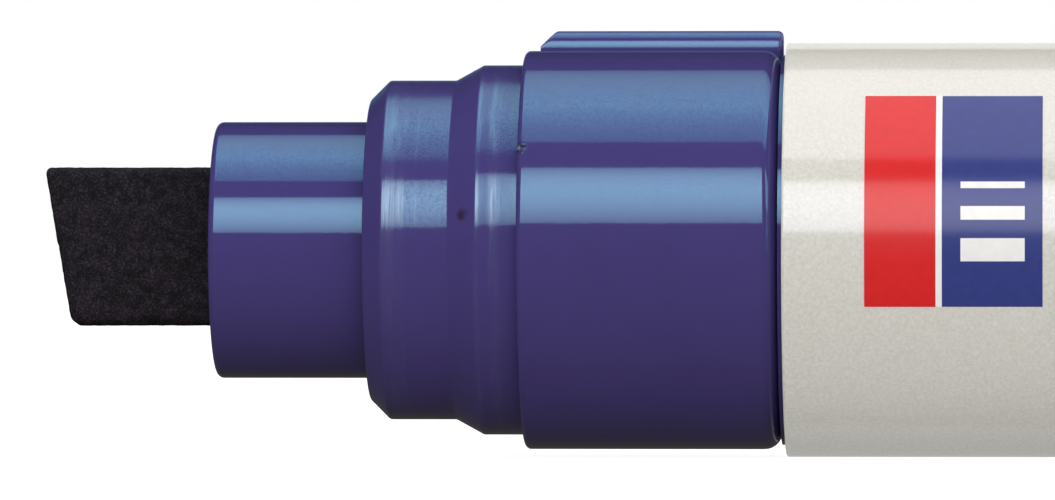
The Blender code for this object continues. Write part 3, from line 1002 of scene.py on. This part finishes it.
WHITE = (1.0, 1.0, 1.0)
PALE_BLUE = (0.51, 0.91, 1.0)
DEEP_BLUE = (0.25, 0.52, 0.85)
WARM = (1.0, 0.56, 0.36)

# Directions that the lights face
TO_BACK = (0, 1, 0)
TO_FRONT = (0, -1, 0)
TO_LEFT = (-1, 0, 0)
DOWN = (0, 0, -1)
UP = (0, 0, 1)

# Places of the lights in metres, as the marker sees them
FRONT_DISTANCE = 1.0
BACK_DISTANCE = 1.2
ROOF_HEIGHT = 0.8
PIT_HEIGHT = -0.5
FILL_DISTANCE = 1.5
FILL_REACH = 3.0
SIDE_NEAR = 0.95
SIDE_FAR = 2.4

# Height of a direction over which the ground turns into the sky
HORIZON_LOW = -0.2
HORIZON_HIGH = 0.05

FLOOR_REACH = 6.0
FLOOR_CELLS = 8
FLOOR_GLOW = 0.93


def softbox(name, low, high, facing, radiance, gloss, reach=None, colour=WHITE, fade=None):
    """Rectangular light between two corners, seen either in gloss or in matt shading.

    The corners share the coordinate of the axis that the light faces along. The light reaches the
    pieces that its group allows, and a fade makes it weaker away from one line along it.
    """
    light = bpy.data.lights.new(name, 'AREA')
    light.shape = 'RECTANGLE'
    light.size, light.size_y = [side for side in Vector(high) - Vector(low) if side]
    light.energy = radiance * math.pi * light.size * light.size_y
    light.color = colour
    lamp = bpy.data.objects.new(name, light)
    bpy.context.scene.collection.objects.link(lamp)
    lamp.location = (Vector(low) + Vector(high)) / 2
    lamp.rotation_euler = Vector(facing).to_track_quat('-Z', 'Y').to_euler()
    lamp.visible_camera = False
    lamp.visible_glossy = gloss
    lamp.visible_diffuse = not gloss
    if reach:
        lamp.light_linking.receiver_collection = reach
    if fade:
        fade_light(light, *fade)
    return lamp


def fade_light(light, peak, loss, power):
    """Make a light brightest along the line at one share of its width.

    It loses a share of its strength from there to the farther edge, by a power of the distance.
    """
    light.use_nodes = True
    tree = light.node_tree
    place = tree.nodes.new("ShaderNodeNewGeometry")
    split = tree.nodes.new("ShaderNodeSeparateXYZ")
    tree.links.new(place.outputs["Parametric"], split.inputs["Vector"])
    value = split.outputs["Y"]
    for operation, number in (('SUBTRACT', peak), ('ABSOLUTE', 0.0), ('POWER', power)):
        step = tree.nodes.new("ShaderNodeMath")
        step.operation = operation
        step.inputs[1].default_value = number
        tree.links.new(value, step.inputs[0])
        value = step.outputs[0]
    strength = tree.nodes.new("ShaderNodeMapRange")
    strength.inputs["From Max"].default_value = max(peak, 1.0 - peak) ** power
    strength.inputs["To Min"].default_value = 1.0
    strength.inputs["To Max"].default_value = 1.0 - loss
    tree.links.new(value, strength.inputs["Value"])
    tree.links.new(strength.outputs["Result"], tree.nodes["Emission"].inputs["Strength"])


def light_group(name, pieces, state):
    """Pieces that a light reaches alone, or that it leaves out."""
    group = bpy.data.collections.new(name)
    for piece in pieces:
        group.objects.link(piece)
    for member in group.collection_objects:
        member.light_linking.link_state = state
    return group


def over(angle, height):
    """Y of a place at a height, at an angle up from the front as the marker sees it."""
    return -height / math.tan(math.radians(angle))


def above(angle, distance):
    """Z of a place at a distance in front, at an angle up from the front."""
    return AXIS_Z + distance * math.tan(math.radians(angle))


def front_light(name, low, high, radiance, reach, left=-1.0, right=1.0, **more):
    """Gloss light in front of the marker between two angles up from the front."""
    near = FRONT_DISTANCE
    return softbox(name, (left, -near, above(low, near)), (right, -near, above(high, near)),
                   TO_BACK, radiance, True, reach, **more)


def roof_light(name, low, high, radiance, reach, left=-0.62, right=0.62, **more):
    """Gloss light over the marker between two angles up from the front."""
    roof = ROOF_HEIGHT
    return softbox(name, (left, over(low, roof), roof), (right, over(high, roof), roof),
                   DOWN, radiance, True, reach, **more)


def back_light(name, low, high, radiance, reach, left=-1.0, right=1.0, **more):
    """Gloss light behind the marker between two angles up from the back."""
    back = BACK_DISTANCE
    return softbox(name, (left, back, above(low, back)), (right, back, above(high, back)),
                   TO_FRONT, radiance, True, reach, **more)


def make_side_lights(side, strength, reach=None):
    """Gloss lights far out to one side, for views from the marker's ends and back."""
    left, right = sorted((side * SIDE_NEAR, side * SIDE_FAR))
    name = "right" if side > 0 else "left"
    front_light(f"{name}_front", 30, 52, 3.4 * strength, reach, left=left, right=right)
    roof_light(f"{name}_roof", 66, 114, 2.8 * strength, reach, left=left, right=right)
    back_light(f"{name}_back", 30, 52, 3.4 * strength, reach, left=left, right=right)


def make_lights(printed_tube, rear_pieces):
    """Gloss lights draw the bands on the mouldings and on the tube, matt lights fill the shading.

    The numbers after a light's name are its lower and upper angle in degrees and its radiance.
    """
    wide = FILL_REACH
    far = FILL_DISTANCE
    deep = PIT_HEIGHT

    mouldings = light_group("all_but_tube", printed_tube, 'EXCLUDE')
    front_light("moulding_front", 15.3, 48.2, 8.0, mouldings, left=-0.5, right=0.35,
                fade=(0.5, 0.62, 2))
    roof_light("moulding_roof", 65, 126.5, 4.30, mouldings, left=-0.35, right=0.50,
               colour=PALE_BLUE, fade=(0.40, 0.83, 1))
    back_light("moulding_back", 2, 16, 0.22, mouldings, colour=DEEP_BLUE)
    softbox("moulding_edge", (1.0, -0.92, 0.02), (1.0, -0.76, 1.2), TO_LEFT, 2.0, True,
            mouldings, colour=PALE_BLUE)
    softbox("moulding_below", (-wide, -far, above(-50, far)), (wide, -far, above(-10, far)),
            TO_BACK, 0.62, False, mouldings, colour=WARM)

    tube = light_group("tube_alone", printed_tube, 'INCLUDE')
    front_light("tube_front", 10, 38, 7.0, tube, fade=(0.5, 0.2, 2))
    roof_light("tube_roof", 52, 119, 3.5, tube, fade=(0.0, 0.5, 2))
    back_light("tube_back", 2, 30, 0.9, tube)
    back_light("tube_back_low", -65, -2, 0.45, tube)
    below = softbox("tube_below", (-1.0, over(-60, deep), deep), (1.0, over(-120, deep), deep),
                    UP, 0.92, False, tube)
    below.light_linking.blocker_collection = tube

    make_side_lights(1, 0.9)
    tube_and_rear = light_group("tube_and_rear", printed_tube + rear_pieces, 'INCLUDE')
    make_side_lights(-1, 1.0, tube_and_rear)

    softbox("fill_front", (-wide, -far, above(0.5, far)), (wide, -far, above(25, far)),
            TO_BACK, 2.9, False)
    softbox("fill_top", (-wide, over(60, far), far), (wide, over(120, far), far),
            DOWN, 0.65, False)


def make_world():
    """White for the camera. Matt shading sees light from above, gloss a dark sky and warm ground."""
    world = bpy.data.worlds.new("studio")
    bpy.context.scene.world = world
    world.use_nodes = True
    tree = world.node_tree
    tree.nodes.clear()
    rays = tree.nodes.new("ShaderNodeLightPath")
    direction = tree.nodes.new("ShaderNodeTexCoord")
    split = tree.nodes.new("ShaderNodeSeparateXYZ")
    tree.links.new(direction.outputs["Generated"], split.inputs["Vector"])
    horizon = tree.nodes.new("ShaderNodeMapRange")
    horizon.inputs["From Min"].default_value = HORIZON_LOW
    horizon.inputs["From Max"].default_value = HORIZON_HIGH
    tree.links.new(split.outputs["Z"], horizon.inputs["Value"])

    def sky(ground, heaven):
        shade = tree.nodes.new("ShaderNodeMix")
        shade.data_type = 'RGBA'
        shade.inputs["A"].default_value = ground
        shade.inputs["B"].default_value = heaven
        background = tree.nodes.new("ShaderNodeBackground")
        tree.links.new(horizon.outputs["Result"], shade.inputs["Factor"])
        tree.links.new(shade.outputs["Result"], background.inputs["Color"])
        return background.outputs[0]

    def choose(ray, otherwise, chosen):
        mix = tree.nodes.new("ShaderNodeMixShader")
        tree.links.new(rays.outputs[ray], mix.inputs["Fac"])
        tree.links.new(otherwise, mix.inputs[1])
        tree.links.new(chosen, mix.inputs[2])
        return mix.outputs[0]

    matt = sky(grey(0.10), grey(0.62))
    gloss = sky(rgba(0.08, 0.07, 0.06), grey(0.02))
    backdrop = tree.nodes.new("ShaderNodeBackground")
    backdrop.inputs["Color"].default_value = grey(1.0)
    output = tree.nodes.new("ShaderNodeOutputWorld")
    light = choose("Is Camera Ray", choose("Is Glossy Ray", matt, gloss), backdrop.outputs[0])
    tree.links.new(light, output.inputs["Surface"])


def make_floor():
    """Pale floor that glows a little, like a light table, and throws no light on the marker."""
    shape = bmesh.new()
    bmesh.ops.create_grid(shape, x_segments=FLOOR_CELLS, y_segments=FLOOR_CELLS, size=FLOOR_REACH)
    look = Look("floor_paper", Specular_IOR_Level=0.0, Roughness=1.0,
                Emission_Strength=FLOOR_GLOW, Emission_Color=grey(1.0))
    look.colour(look.mix(look.grain(0.05), grey(0.29), grey(0.31)))
    floor = finish_piece("floor", shape, look.material)
    floor.visible_glossy = False
    floor.visible_diffuse = False


def make_camera():
    """Camera level with the axis, with the barrel's rim where the photograph has it."""
    camera = bpy.data.cameras.new("camera")
    camera.sensor_width = SENSOR_WIDTH
    camera.lens = SENSOR_WIDTH * CAMERA_DISTANCE / (PIXEL * IMAGE_WIDTH)
    camera.clip_start = CLIP_NEAR
    camera.clip_end = CLIP_FAR
    holder = bpy.data.objects.new("camera", camera)
    bpy.context.scene.collection.objects.link(holder)
    rim_offset = PIXEL * (BARREL_RIM_PIXEL - IMAGE_WIDTH / 2)
    middle = Vector((BARREL_LOW.x - rim_offset, 0, AXIS_Z))
    away = Vector((math.sin(CAMERA_AZIMUTH), -math.cos(CAMERA_AZIMUTH), 0))
    holder.location = middle + away * CAMERA_DISTANCE
    holder.rotation_euler = (-away).to_track_quat('-Z', 'Y').to_euler()
    bpy.context.scene.camera = holder


make_front_section()
make_rib()
make_collar()
make_nib()
tube_and_print = [make_barrel()] + make_panel()
make_reservoir()
tail_and_cap = [make_tail(), make_cap()]
make_liner()
make_floor()
make_lights(tube_and_print, tail_and_cap)
make_world()
make_camera()
bpy.context.scene.view_settings.view_transform = 'Standard'
